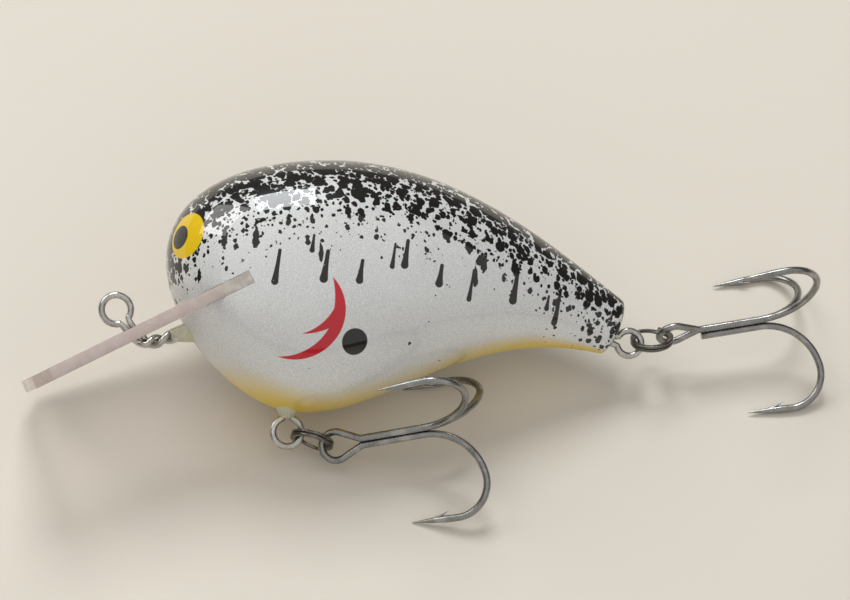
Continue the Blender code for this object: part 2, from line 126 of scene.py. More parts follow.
def piece_from(name: str, bm: bmesh.types.BMesh, place: Matrix) -> bpy.types.Object:
    """Makes an object at the origin from a mesh in the lure's frame.

    Args:
        name: The piece's name.
        bm: The mesh, in millimetres. It is freed.
        place: Carries the mesh to the world.

    Returns:
        The linked object, shaded smooth up to the usual angle.
    """
    bmesh.ops.transform(bm, matrix=place, verts=bm.verts)
    mesh = bpy.data.meshes.new(name)
    bm.to_mesh(mesh)
    bm.free()
    mesh.shade_smooth()
    mesh.set_sharp_from_angle(angle=SMOOTH_ANGLE)
    made = bpy.data.objects.new(name, mesh)
    bpy.context.scene.collection.objects.link(made)
    return made


def carve(piece: bpy.types.Object, tools: Sequence[bpy.types.Object], operation: str) -> None:
    """Runs Booleans on a piece, keeps the result as its mesh and removes the tools.

    Args:
        piece: The piece to change.
        tools: What cuts, joins or limits it.
        operation: DIFFERENCE, UNION or INTERSECT.
    """
    for tool in tools:
        modifier = piece.modifiers.new(tool.name, "BOOLEAN")
        modifier.operation = operation
        modifier.solver = "EXACT"
        modifier.object = tool
    graph = bpy.context.evaluated_depsgraph_get()
    result = bpy.data.meshes.new_from_object(piece.evaluated_get(graph))
    piece.modifiers.clear()
    piece.data = result
    result.shade_smooth()
    result.set_sharp_from_angle(angle=SMOOTH_ANGLE)
    for tool in tools:
        bpy.data.objects.remove(tool)


def rod(start: Vector, end: Vector, radius: float, end_radius: float | None = None) -> bmesh.types.BMesh:
    """A cylinder or a cone between two points."""
    bm = bmesh.new()
    turn = (end - start).to_track_quat("Z", "Y").to_matrix().to_4x4()
    bmesh.ops.create_cone(
        bm,
        cap_ends=True,
        segments=32,
        radius1=radius,
        radius2=radius if end_radius is None else end_radius,
        depth=(end - start).length,
        matrix=Matrix.Translation((start + end) / 2) @ turn,
    )
    return bm


def box(low: Sequence[float], high: Sequence[float], place: Matrix) -> bmesh.types.BMesh:
    """A box between two corners, then placed."""
    low_corner, high_corner = Vector(low), Vector(high)
    size = high_corner - low_corner
    bm = bmesh.new()
    scale = Matrix.Diagonal((*size, 1.0))
    bmesh.ops.create_cube(
        bm, size=1.0, matrix=place @ Matrix.Translation((low_corner + high_corner) / 2) @ scale
    )
    return bm


def tube(
    name: str,
    points: Sequence[Vector],
    diameter: float,
    place: Matrix,
    shares: Sequence[float] | None = None,
) -> bpy.types.Object:
    """A round wire through the points, as a mesh.

    Args:
        name: The piece's name.
        points: The wire's middle line, in the frame that place carries to the world.
        diameter: The wire's diameter, in millimetres.
        place: Carries the wire to the world.
        shares: The share of the full radius at each point.

    Returns:
        The wire.
    """
    data = bpy.data.curves.new(name, "CURVE")
    data.dimensions = "3D"
    data.bevel_depth = diameter / 2
    data.bevel_resolution = 5
    data.use_fill_caps = True
    spline = data.splines.new("POLY")
    spline.points.add(len(points) - 1)
    for index, point in enumerate(points):
        spline.points[index].co = (*point, 1.0)
        spline.points[index].radius = shares[index] if shares else 1.0
    drawn = bpy.data.objects.new(name + "_line", data)
    bpy.context.scene.collection.objects.link(drawn)
    graph = bpy.context.evaluated_depsgraph_get()
    mesh = bpy.data.meshes.new_from_object(drawn.evaluated_get(graph))
    bm = bmesh.new()
    bm.from_mesh(mesh)
    bmesh.ops.remove_doubles(bm, verts=bm.verts, dist=0.0005)
    bmesh.ops.recalc_face_normals(bm, faces=bm.faces)
    bpy.data.objects.remove(drawn)
    bpy.data.meshes.remove(mesh)
    return piece_from(name, bm, place)


def walk(points: Sequence[Vector], step: float) -> list[Vector]:
    """Walks a polyline in equal steps.

    Args:
        points: The polyline.
        step: About how long each step is.

    Returns:
        The points walked through, with both ends.
    """
    lengths = [0.0]
    for before, after in zip(points, points[1:]):
        lengths.append(lengths[-1] + (after - before).length)
    count = max(2, round(lengths[-1] / step) + 1)
    walked = []
    index = 0
    for i in range(count):
        target = lengths[-1] * i / (count - 1)
        while index < len(points) - 2 and lengths[index + 1] < target:
            index += 1
        share = (target - lengths[index]) / (lengths[index + 1] - lengths[index])
        walked.append(points[index].lerp(points[index + 1], share))
    return walked


# ---------------------------------------------------------------- node helpers


class NodeMaker:
    """Adds nodes to a tree and wires them, so that a finish reads as its recipe."""

    def __init__(self, tree: bpy.types.NodeTree) -> None:
        """Keeps the tree."""
        self.tree = tree

    def node(self, kind: str, **settings: object) -> bpy.types.Node:
        """Adds a node and sets its properties."""
        made = self.tree.nodes.new(kind)
        for key, value in settings.items():
            setattr(made, key, value)
        return made

    def feed(self, socket: bpy.types.NodeSocket, value: object) -> None:
        """Links a socket to another, or sets its value."""
        if isinstance(value, bpy.types.NodeSocket):
            self.tree.links.new(value, socket)
        elif isinstance(value, tuple) and socket.type == "RGBA" and len(value) == 3:
            socket.default_value = (*value, 1.0)
        else:
            socket.default_value = value

    def math(self, operation: str, *values: object, clamp: bool = False) -> bpy.types.NodeSocket:
        """A Math node's result."""
        made = self.node("ShaderNodeMath", operation=operation, use_clamp=clamp)
        for socket, value in zip(made.inputs, values):
            self.feed(socket, value)
        return made.outputs[0]

    def vector(self, operation: str, *values: object) -> bpy.types.NodeSocket:
        """A Vector Math node's result."""
        made = self.node("ShaderNodeVectorMath", operation=operation)
        for socket, value in zip(made.inputs, values):
            self.feed(socket, value)
        return made.outputs["Value"] if operation in {
            "DISTANCE", "DOT_PRODUCT", "LENGTH"
        } else made.outputs[0]

    def ramp(
        self, value: object, low: object, high: object, out: tuple[object, object] = (0.0, 1.0)
    ) -> bpy.types.NodeSocket:
        """A smooth step from low to high, scaled to out."""
        made = self.node("ShaderNodeMapRange", interpolation_type="SMOOTHSTEP")
        for name, given in (("Value", value), ("From Min", low), ("From Max", high)):
            self.feed(made.inputs[name], given)
        self.feed(made.inputs["To Min"], out[0])
        self.feed(made.inputs["To Max"], out[1])
        return made.outputs[0]

    def mix(self, share: object, first: object, second: object) -> bpy.types.NodeSocket:
        """A colour mix."""
        made = self.node("ShaderNodeMix", data_type="RGBA")
        self.feed(made.inputs[0], share)
        self.feed(made.inputs[6], first)
        self.feed(made.inputs[7], second)
        return made.outputs[2]

    def split(self, vector: bpy.types.NodeSocket) -> tuple[bpy.types.NodeSocket, ...]:
        """A vector's three parts."""
        made = self.node("ShaderNodeSeparateXYZ")
        self.feed(made.inputs[0], vector)
        return tuple(made.outputs)

    def join(self, x: object, y: object, z: object) -> bpy.types.NodeSocket:
        """A vector from three parts."""
        made = self.node("ShaderNodeCombineXYZ")
        for socket, value in zip(made.inputs, (x, y, z)):
            self.feed(socket, value)
        return made.outputs[0]

    def noise(self, vector: object, scale: float, detail: float = 2.0) -> bpy.types.Node:
        """A Noise Texture node."""
        made = self.node("ShaderNodeTexNoise")
        self.feed(made.inputs["Vector"], vector)
        made.inputs["Scale"].default_value = scale
        made.inputs["Detail"].default_value = detail
        return made

    def group(self, tree: bpy.types.NodeTree, **values: object) -> bpy.types.Node:
        """Places a node group with its own values."""
        made = self.node("ShaderNodeGroup", node_tree=tree)
        for name, value in values.items():
            self.feed(made.inputs[name.replace("_", " ").title()], value)
        return made


def new_group(name: str, inputs: Sequence[tuple[str, str]], outputs: Sequence[tuple[str, str]]) -> tuple:
    """Starts a shader node group.

    Args:
        name: The group's name.
        inputs: Each input's name and kind, where the kind is Float, Vector or Color.
        outputs: The same for each output.

    Returns:
        The group, a NodeMaker for it, its input node and its output node.
    """
    tree = bpy.data.node_groups.new(name, "ShaderNodeTree")
    for direction, sockets in (("INPUT", inputs), ("OUTPUT", outputs)):
        for socket_name, kind in sockets:
            tree.interface.new_socket(socket_name, in_out=direction, socket_type="NodeSocket" + kind)
    maker = NodeMaker(tree)
    return tree, maker, maker.node("NodeGroupInput"), maker.node("NodeGroupOutput")


class SharedEffects:
    """The node groups that more than one finish places."""

    def __init__(self) -> None:
        """Builds each group once."""
        self.paint_drops = self._paint_drops()
        self.paint_spots = self._paint_spots()
        self.paint_run = self._paint_run()
        self.metal_wear = self._metal_wear()
        self.resin_flaws = self._resin_flaws()

    @staticmethod
    def _paint_drops() -> bpy.types.NodeTree:
        """Scattered drops of paint: one in each cell, blunt below and drawn out above."""
        tree, m, given, result = new_group(
            "paint_drops",
            [
                ("Vector", "Vector"),
                ("Cell", "Vector"),
                ("Depth", "Float"),
                ("Width", "Float"),
                ("Length", "Float"),
                ("Keep Near", "Float"),
                ("Keep Far", "Float"),
                ("Near", "Float"),
                ("Far", "Float"),
            ],
            [("Mask", "Float")],
        )
        cells = m.vector("DIVIDE", given.outputs["Vector"], given.outputs["Cell"])
        voronoi = m.node("ShaderNodeTexVoronoi", feature="F1")
        m.feed(voronoi.inputs["Vector"], cells)
        voronoi.inputs["Scale"].default_value = 1.0
        voronoi.inputs["Randomness"].default_value = 0.9
        centre = m.vector("MULTIPLY", voronoi.outputs["Position"], given.outputs["Cell"])
        away_x, away_y, away_z = m.split(m.vector("SUBTRACT", given.outputs["Vector"], centre))
        chance, long, wide = m.split(voronoi.outputs["Color"])
        length = m.math("MULTIPLY", given.outputs["Length"], m.math("MULTIPLY_ADD", long, 0.8, 0.4))
        width = m.math("MULTIPLY", given.outputs["Width"], m.math("MULTIPLY_ADD", wide, 0.75, 0.35))
        rise = m.math("DIVIDE", away_z, length)
        taper = m.math("POWER", m.math("SUBTRACT", 0.5, rise, clamp=True), 0.8)
        blunt = m.math("POWER", m.math("MULTIPLY", m.math("ADD", rise, 0.5), 4.0, clamp=True), 0.5)
        reach = m.math("MULTIPLY", width, m.math("MULTIPLY", taper, blunt))
        radial = m.vector("LENGTH", m.join(away_x, away_y, 0.0))
        inside = m.ramp(m.math("SUBTRACT", reach, radial), -0.02, 0.05)
        centre_depth = m.math("ADD", given.outputs["Depth"], away_z)
        keep = m.ramp(
            centre_depth,
            given.outputs["Near"],
            given.outputs["Far"],
            (given.outputs["Keep Near"], given.outputs["Keep Far"]),
        )
        kept = m.math("LESS_THAN", chance, keep)
        m.feed(result.inputs["Mask"], m.math("MULTIPLY", inside, kept))
        return tree

    @staticmethod
    def _paint_spots() -> bpy.types.NodeTree:
        """Round spots of paint, crowded and merging near the back and sparse further down."""
        tree, m, given, result = new_group(
            "paint_spots",
            [
                ("Vector", "Vector"),
                ("Cell", "Vector"),
                ("Depth", "Float"),
                ("Cover", "Float"),
                ("Reach", "Float"),
                ("Stray", "Float"),
            ],
            [("Mask", "Float")],
        )
        voronoi = m.node("ShaderNodeTexVoronoi", feature="F1")
        m.feed(voronoi.inputs["Vector"], m.vector("DIVIDE", given.outputs["Vector"], given.outputs["Cell"]))
        voronoi.inputs["Scale"].default_value = 1.0
        chance, grow, _ = m.split(voronoi.outputs["Color"])
        fade = m.ramp(
            given.outputs["Depth"], m.math("MULTIPLY", given.outputs["Reach"], 0.12), given.outputs["Reach"], (1.0, 0.0)
        )
        size = m.math("MULTIPLY", given.outputs["Cover"], m.math("MULTIPLY_ADD", grow, 0.55, 0.28))
        radius = m.math("MULTIPLY", size, m.math("MULTIPLY_ADD", fade, 0.5, 0.5))
        inside = m.ramp(m.math("SUBTRACT", radius, voronoi.outputs["Distance"]), -0.02, 0.03)
        kept = m.math("LESS_THAN", chance, m.math("ADD", fade, given.outputs["Stray"]))
        m.feed(result.inputs["Mask"], m.math("MULTIPLY", inside, kept))
        return tree

    @staticmethod
    def _paint_run() -> bpy.types.NodeTree:
        """One run of paint, thin at its top and round at its bottom."""
        tree, m, given, result = new_group(
            "paint_run",
            [("Vector", "Vector"), ("Top", "Vector"), ("Bottom", "Vector"), ("Radius", "Float")],
            [("Mask", "Float")],
        )
        along = m.vector("SUBTRACT", given.outputs["Bottom"], given.outputs["Top"])
        from_top = m.vector("SUBTRACT", given.outputs["Vector"], given.outputs["Top"])
        length = m.vector("LENGTH", along)
        share = m.math(
            "DIVIDE", m.vector("DOT_PRODUCT", from_top, along), m.math("MULTIPLY", length, length), clamp=True
        )
        scale = m.node("ShaderNodeVectorMath", operation="SCALE")
        m.feed(scale.inputs[0], along)
        m.feed(scale.inputs["Scale"], share)
        away = m.vector("DISTANCE", from_top, scale.outputs[0])
        reach = m.math(
            "MULTIPLY", given.outputs["Radius"], m.math("MULTIPLY_ADD", m.math("POWER", share, 2.2), 0.5, 0.5)
        )
        m.feed(result.inputs["Mask"], m.ramp(m.math("SUBTRACT", reach, away), -0.02, 0.05))
        return tree

    @staticmethod
    def _metal_wear() -> bpy.types.NodeTree:
        """Drawn-wire metal: brighter rubbed patches, darker stains, and fine scratches."""
        tree, m, given, result = new_group(
            "metal_wear",
            [
                ("Vector", "Vector"), ("Base", "Color"), ("Bright", "Color"), ("Stain", "Color"), ("Rough", "Float")
            ],
            [("Color", "Color"), ("Roughness", "Float"), ("Height", "Float")],
        )
        broad = m.noise(given.outputs["Vector"], 0.55, 3.0).outputs["Fac"]
        fine = m.noise(given.outputs["Vector"], 6.0, 4.0).outputs["Fac"]
        scratch = m.noise(
            m.vector("MULTIPLY", given.outputs["Vector"], (2.0, 14.0, 14.0)), 1.0, 2.0
        ).outputs["Fac"]
        rubbed = m.ramp(broad, 0.5, 0.68)
        stained = m.math("MULTIPLY", m.ramp(broad, 0.46, 0.3), m.ramp(fine, 0.45, 0.65))
        colour = m.mix(rubbed, given.outputs["Base"], given.outputs["Bright"])
        m.feed(result.inputs["Color"], m.mix(stained, colour, given.outputs["Stain"]))
        rough = m.math("ADD", given.outputs["Rough"], m.math("MULTIPLY", m.math("SUBTRACT", fine, 0.5), 0.22))
        m.feed(
            result.inputs["Roughness"], m.math("ADD", rough, m.math("MULTIPLY", stained, 0.18), clamp=True)
        )
        m.feed(
            result.inputs["Height"], m.math("ADD", m.math("MULTIPLY", scratch, 0.6), m.math("MULTIPLY", fine, 0.4))
        )
        return tree

    @staticmethod
    def _resin_flaws() -> bpy.types.NodeTree:
        """Clouding and small bubbles in poured resin or saw-cut plastic."""
        tree, m, given, result = new_group(
            "resin_flaws",
            [("Vector", "Vector"), ("Clear", "Color"), ("Cloud", "Color"), ("Bubble Size", "Float")],
            [("Color", "Color"), ("Roughness", "Float"), ("Height", "Float")],
        )
        cloud = m.noise(given.outputs["Vector"], 0.7, 3.0).outputs["Fac"]
        voronoi = m.node("ShaderNodeTexVoronoi", feature="F1")
        m.feed(voronoi.inputs["Vector"], given.outputs["Vector"])
        voronoi.inputs["Scale"].default_value = 0.8
        chance = m.split(voronoi.outputs["Color"])[0]
        spacing = m.vector("DISTANCE", given.outputs["Vector"], voronoi.outputs["Position"])
        ring = m.ramp(
            spacing, given.outputs["Bubble Size"], m.math("MULTIPLY", given.outputs["Bubble Size"], 0.6)
        )
        bubble = m.math("MULTIPLY", ring, m.math("LESS_THAN", chance, 0.3))
        misty = m.ramp(cloud, 0.42, 0.62)
        m.feed(result.inputs["Color"], m.mix(misty, given.outputs["Clear"], given.outputs["Cloud"]))
        m.feed(result.inputs["Roughness"], m.math("MULTIPLY_ADD", misty, 0.14, 0.06))
        m.feed(result.inputs["Height"], m.math("ADD", bubble, m.math("MULTIPLY", cloud, 0.3)))
        return tree


# ---------------------------------------------------------------- finishes


@dataclass(frozen=True)
class Finish:
    """A material whose patterns are laid out in the lure's frame, in millimetres."""

    name: str
    place: Matrix
    effects: SharedEffects

    def start(self) -> tuple[bpy.types.Material, NodeMaker, bpy.types.Node, bpy.types.NodeSocket]:
        """Starts the material.

        Returns:
            The material, a NodeMaker for it, its shader and the place in the lure's frame.
        """
        made = bpy.data.materials.new(self.name)
        made.use_nodes = True
        maker = NodeMaker(made.node_tree)
        shader = made.node_tree.nodes["Principled BSDF"]
        where = maker.node("ShaderNodeTexCoord").outputs["Object"]
        mapping = maker.node("ShaderNodeMapping", vector_type="TEXTURE")
        maker.feed(mapping.inputs["Vector"], where)
        mapping.inputs["Location"].default_value = self.place.to_translation()
        mapping.inputs["Rotation"].default_value = self.place.to_euler()
        mapping.inputs["Scale"].default_value = (MM, MM, MM)
        return made, maker, shader, mapping.outputs[0]

    def bump(self, m: NodeMaker, shader: bpy.types.Node, height: object, depth: float) -> None:
        """Feeds a height, of this depth in metres, to the shader's normal."""
        bump = m.node("ShaderNodeBump")
        bump.inputs["Strength"].default_value = 1.0
        bump.inputs["Distance"].default_value = depth
        m.feed(bump.inputs["Height"], height)
        m.feed(shader.inputs["Normal"], bump.outputs[0])


@dataclass(frozen=True)
class MetalFinish(Finish):
    """Drawn or plated wire."""

    base: Colour = (0.4, 0.4, 0.4)
    bright: Colour = (0.6, 0.6, 0.6)
    stain: Colour = (0.1, 0.1, 0.1)
    rough: float = 0.3

    def build(self) -> bpy.types.Material:
        """Makes the metal."""
        made, m, shader, where = self.start()
        wear = m.group(
            self.effects.metal_wear,
            vector=where,
            base=self.base,
            bright=self.bright,
            stain=self.stain,
            rough=self.rough,
        )
        m.feed(shader.inputs["Base Color"], wear.outputs["Color"])
        m.feed(shader.inputs["Roughness"], wear.outputs["Roughness"])
        shader.inputs["Metallic"].default_value = 1.0
        self.bump(m, shader, wear.outputs["Height"], 0.000012)
        return made


@dataclass(frozen=True)
class ResinFinish(Finish):
    """Clear or cloudy plastic: the lip's sheet, and the epoxy in the slot and on the nose."""

    clear: Colour = (0.9, 0.9, 0.9)
    cloud: Colour = (0.8, 0.8, 0.8)
    bubble: float = 0.15
    transmission: float = 1.0
    bump_depth: float = 0.00001

    def build(self) -> bpy.types.Material:
        """Makes the resin."""
        made, m, shader, where = self.start()
        flaws = m.group(
            self.effects.resin_flaws, vector=where, clear=self.clear, cloud=self.cloud, bubble_size=self.bubble
        )
        m.feed(shader.inputs["Base Color"], flaws.outputs["Color"])
        m.feed(shader.inputs["Roughness"], flaws.outputs["Roughness"])
        shader.inputs["Transmission Weight"].default_value = self.transmission
        shader.inputs["IOR"].default_value = 1.56
        self.bump(m, shader, flaws.outputs["Height"], self.bump_depth)
        return made


@dataclass(frozen=True)
class Arc:
    """An arc in side view between two corners, bowed aft and down the flank by its bulge."""

    start: tuple[float, float]
    end: tuple[float, float]
    bulge: float

    def circle(self) -> tuple[Vector, float]:
        """The centre and radius of the circle that the arc is part of."""
        start, end = flat(*self.start), flat(*self.end)
        chord = end - start
        radius = (chord.length_squared / 4 + self.bulge**2) / (2 * self.bulge)
        outward = Vector((-chord.z, 0.0, chord.x)).normalized()
        return (start + end) / 2 + outward * (self.bulge - radius), radius


@dataclass(frozen=True)
class Run:
    """A run of paint on the flank: where it starts, its two heights, its width and its drift aft."""

    x: float
    top: float
    bottom: float
    width: float
    drift: float


@dataclass(frozen=True)
class LurePaint(Finish):
    """The body's paint: pearl white, yellow below, black splatter above, an eye and a gill mark."""

    pearl: Colour = (0.84, 0.85, 0.84)
    pearl_grain: Colour = (0.62, 0.63, 0.63)
    yellow: Colour = (0.80, 0.56, 0.03)
    black: Colour = (0.010, 0.009, 0.008)
    red: Colour = (0.60, 0.006, 0.02)
    eye_centre: tuple[float, float, float] = (-29.9, 5.3, 6.6)
    eye_radius: float = 3.25
    pupil_centre: tuple[float, float, float] = (-30.7, 4.4, 6.4)
    pupil_radius: float = 1.7
    spot_centre: tuple[float, float] = (-7.8, -8.1)
    spot_radius: float = 1.76
    gill_top: tuple[float, float] = (-11.0, 0.5)
    gill_corner: tuple[float, float] = (-10.8, -3.7)
    gill_tine: tuple[float, float] = (-15.2, -7.1)
    gill_crotch: tuple[float, float] = (-11.5, -6.4)
    gill_low: tuple[float, float] = (-18.1, -10.0)
    back_line: tuple[tuple[float, float], ...] = ()
    run_count: int = 13
    run_start: float = -18.0
    run_pitch: float = 3.7

    def outline_height(
        self, m: NodeMaker, x: object, points: Sequence[tuple[float, float]]
    ) -> bpy.types.NodeSocket:
        """The outline's height at x, read from a ramp through a few of its points."""
        ramp = m.node("ShaderNodeValToRGB")
        m.feed(ramp.inputs[0], m.math("DIVIDE", m.math("ADD", x, 32.0), 64.0))
        stops = ramp.color_ramp.elements
        while len(stops) < len(points):
            stops.new(0.5)
        for stop, (along, high) in zip(stops, points):
            stop.position = (along + 32.0) / 64.0
            level = (high + 20.0) / 40.0
            stop.color = (level, level, level, 1.0)
        ramp.color_ramp.interpolation = "LINEAR"
        return m.math("MULTIPLY_ADD", m.split(ramp.outputs[0])[0], 40.0, -20.0)

    def disc(
        self, m: NodeMaker, where: object, centre: Sequence[float], radius: float, soft: float
    ) -> bpy.types.NodeSocket:
        """A mask of what lies within a radius of a point."""
        return m.ramp(m.vector("DISTANCE", where, tuple(centre)), radius + soft, radius - soft)

    def gill(self, m: NodeMaker, x: object, z: object) -> bpy.types.NodeSocket:
        """A forked crescent: five corners joined by arcs."""
        side_on = m.join(x, 0.0, z)
        outer, front, hollow, tine, fork = (
            self.disc(m, side_on, *arc.circle(), 0.05)
            for arc in (
                Arc(self.gill_top, self.gill_low, 5.1),
                Arc(self.gill_top, self.gill_corner, 0.2),
                Arc(self.gill_corner, self.gill_tine, 0.6),
                Arc(self.gill_crotch, self.gill_tine, 0.2),
                Arc(self.gill_crotch, self.gill_low, 1.1),
            )
        )
        upper = m.math("GREATER_THAN", z, self.gill_corner[1])
        inner = m.mix(upper, hollow, front)
        lower_blade = m.math("SUBTRACT", 1.0, fork)
        blades = m.math("MAXIMUM", m.math("MAXIMUM", tine, upper), lower_blade)
        whole = m.math("MULTIPLY", outer, blades)
        return m.math("MULTIPLY", whole, m.math("SUBTRACT", 1.0, inner))

    def back_at(self, x: float) -> float:
        """The back line's height at x."""
        for (x0, z0), (x1, z1) in zip(self.back_line, self.back_line[1:]):
            if x <= x1:
                return z0 + (z1 - z0) * (x - x0) / (x1 - x0)
        return self.back_line[-1][1]

    def flank_runs(self) -> list[Run]:
        """Long runs along the flank, at uneven steps below the back."""
        runs = []
        for index in range(self.run_count):
            x = self.run_start + self.run_pitch * index + 1.1 * math.sin(2.1 * index)
            top = 0.42 * self.back_at(x) - 2.8 + 1.8 * math.sin(1.7 * index)
            length = 3.0 + 1.4 * math.sin(2.9 * index + 1.0)
            width = 1.0 + 0.25 * math.sin(4.3 * index)
            runs.append(Run(x, top, top - length, width, -0.18 * length))
        return runs

    def runs(self, m: NodeMaker, x: object, y: object, z: object) -> bpy.types.NodeSocket:
        """The long runs that stand alone on the left side."""
        side_on = m.join(x, 0.0, z)
        mask = 0.0
        for run in self.flank_runs():
            placed = m.group(
                self.effects.paint_run,
                vector=side_on,
                top=(run.x, 0.0, run.top),
                bottom=(run.x + run.drift, 0.0, run.bottom),
                radius=run.width / 2,
            )
            mask = m.math("MAXIMUM", placed.outputs["Mask"], mask)
        return m.math("MULTIPLY", mask, m.math("LESS_THAN", y, 0.0))

    def splatter(self, m: NodeMaker, where: object, depth: object) -> bpy.types.NodeSocket:
        """Black flung on to the back: blotches, then spots, specks and runs further down."""
        wobble = m.vector("SUBTRACT", m.noise(where, 1.5, 1.0).outputs["Color"], (0.5, 0.5, 0.5))
        ragged = m.vector("ADD", where, m.vector("MULTIPLY", wobble, (0.5, 0.5, 0.5)))
        blotch = m.noise(ragged, 0.8, 1.6).outputs["Fac"]
        edge = m.ramp(depth, -3.0, 8.0, (0.42, 0.78))
        mask = m.ramp(m.math("SUBTRACT", blotch, edge), -0.008, 0.008)
        for cell, cover, reach, stray in (
            ((1.6, 1.6, 2.0), 0.84, 14.0, 0.0),
            ((1.0, 1.0, 1.15), 0.82, 15.0, 0.004),
            ((0.62, 0.62, 0.7), 0.7, 16.0, 0.012),
        ):
            spots = m.group(
                self.effects.paint_spots, vector=ragged, cell=cell, depth=depth, cover=cover, reach=reach, stray=stray
            )
            mask = m.math("MAXIMUM", mask, spots.outputs["Mask"])
        drops = m.group(
            self.effects.paint_drops,
            vector=ragged,
            cell=(1.8, 1.8, 4.0),
            depth=depth,
            width=0.95,
            length=3.8,
            keep_near=0.9,
            keep_far=0.0,
            near=6.5,
            far=13.5,
        )
        return m.math("MAXIMUM", mask, drops.outputs["Mask"])

    def build(self) -> bpy.types.Material:
        """Makes the painted and clear-coated surface."""
        made, m, shader, where = self.start()
        x, y, z = m.split(where)
        mirrored = m.join(x, m.math("ABSOLUTE", y), z)
        top = self.outline_height(m, x, self.back_line)
        depth = m.math("SUBTRACT", top, z)
        grain = m.noise(where, 7.0, 1.0).outputs["Fac"]
        patch = m.noise(where, 0.12, 2.0).outputs["Fac"]
        pearl = m.mix(m.ramp(grain, 0.35, 0.68), self.pearl_grain, self.pearl)
        pearl = m.mix(m.ramp(patch, 0.3, 0.7, (0.25, 0.0)), pearl, self.pearl)
        normal = m.node("ShaderNodeTexCoord").outputs["Normal"]
        axes = self.place.to_3x3().normalized().transposed()
        ahead = m.vector("DOT_PRODUCT", normal, tuple(axes[0]))
        up = m.vector("DOT_PRODUCT", normal, tuple(axes[2]))
        nosewards = m.math("MULTIPLY", m.math("MAXIMUM", m.math("MULTIPLY", ahead, -1.0), 0.0), 0.2)
        downwards = m.math("SUBTRACT", nosewards, up)
        yellow = m.ramp(
            m.math("ADD", downwards, m.math("MULTIPLY", m.math("SUBTRACT", patch, 0.5), 0.05)), 0.76, 0.97
        )
        colour = m.mix(yellow, pearl, self.yellow)
        flakes = m.node("ShaderNodeTexVoronoi", feature="F1")
        m.feed(flakes.inputs["Vector"], where)
        flakes.inputs["Scale"].default_value = 1.9
        chance = m.split(flakes.outputs["Color"])[0]
        near = m.ramp(flakes.outputs["Distance"], 0.16, 0.08)
        flake = m.math("MULTIPLY", near, m.math("LESS_THAN", chance, 0.16))
        hue = m.node("ShaderNodeCombineColor", mode="HSV")
        m.feed(hue.inputs[0], m.ramp(m.split(flakes.outputs["Color"])[1], 0.0, 1.0, (0.42, 0.95)))
        hue.inputs[1].default_value = 0.75
        hue.inputs[2].default_value = 0.9
        colour = m.mix(m.math("MULTIPLY", flake, 0.45), colour, hue.outputs[0])
        black = m.math("MAXIMUM", self.splatter(m, where, depth), self.runs(m, x, y, z))
        red = self.gill(m, x, z)
        spot = self.disc(
            m, m.join(x, 0.0, z), (self.spot_centre[0], 0.0, self.spot_centre[1]), self.spot_radius, 0.06
        )
        eye = self.disc(m, mirrored, self.eye_centre, self.eye_radius, 0.06)
        pupil = self.disc(m, mirrored, self.pupil_centre, self.pupil_radius, 0.06)
        colour = m.mix(black, colour, self.black)
        sparkle = m.math("MULTIPLY", m.math("MULTIPLY", near, m.math("LESS_THAN", chance, 0.05)), black)
        colour = m.mix(sparkle, colour, hue.outputs[0])
        colour = m.mix(red, colour, self.red)
        colour = m.mix(spot, colour, self.black)
        colour = m.mix(eye, colour, (0.83, 0.56, 0.005))
        colour = m.mix(pupil, colour, self.black)
        m.feed(shader.inputs["Base Color"], colour)
        marks = m.math("MAXIMUM", m.math("MAXIMUM", black, red), m.math("MAXIMUM", spot, eye))
        m.feed(
            shader.inputs["Metallic"], m.math("MULTIPLY", m.math("SUBTRACT", 1.0, marks), m.ramp(grain, 0.4, 0.75, (0.0, 0.2)))
        )
        m.feed(shader.inputs["Roughness"], m.ramp(grain, 0.3, 0.7, (0.42, 0.3)))
        shader.inputs["Specular IOR Level"].default_value = 0.12
        shader.inputs["Coat Weight"].default_value = 1.0
        shader.inputs["Coat Roughness"].default_value = 0.03
        shader.inputs["Coat IOR"].default_value = 1.52
        wave = m.noise(where, 0.28, 1.0).outputs["Fac"]
        self.bump(m, shader, wave, 0.00005)
        return made


class Finishes:
    """Every finish of the lure, built once."""

    def __init__(self, place: Matrix, back_line: tuple[tuple[float, float], ...]) -> None:
        """Builds them in the lure's frame.

        Args:
            place: The lure's frame.
            back_line: Heights along the body's back.
        """
        effects = SharedEffects()
        self.paint = LurePaint("lure_paint", place, effects, back_line=back_line).build()
        self.lip = ResinFinish(
            "clear_polycarbonate", place, effects, (0.93, 0.87, 0.85), (0.90, 0.84, 0.82), 0.05, 1.0, 0.000002
        ).build()
        self.lip_edge = ResinFinish(
            "sawn_lip_edge", place, effects, (0.64, 0.53, 0.48), (0.68, 0.58, 0.53), 0.04, 0.12, 0.000002
        ).build()
        self.epoxy = ResinFinish(
            "slot_epoxy", place, effects, (0.56, 0.50, 0.44), (0.70, 0.66, 0.60), 0.2, 0.12, 0.00006
        ).build()
        self.nose_glue = ResinFinish(
            "nose_glue", place, effects, (0.74, 0.72, 0.50), (0.82, 0.80, 0.62), 0.1, 0.2, 0.00001
        ).build()
        self.wire = MetalFinish(
            "stainless_wire", place, effects, (0.50, 0.49, 0.46), (0.72, 0.71, 0.68), (0.25, 0.23, 0.19), 0.24
        ).build()
        self.ring = MetalFinish(
            "dark_nickel_ring", place, effects, (0.17, 0.16, 0.15), (0.28, 0.26, 0.24), (
                0.05, 0.045, 0.04
            ), 0.26
        ).build()
        self.hook = MetalFinish(
            "black_nickel_hook", place, effects, (
                0.30, 0.30, 0.29
            ), (0.42, 0.41, 0.39), (0.14, 0.13, 0.12), 0.27
        ).build()
        self.lead = MetalFinish(
            "cast_lead", place, effects, (0.20, 0.20, 0.22), (0.34, 0.34, 0.36), (0.10, 0.10, 0.11), 0.6
        ).build()


# ---------------------------------------------------------------- sub-assemblies


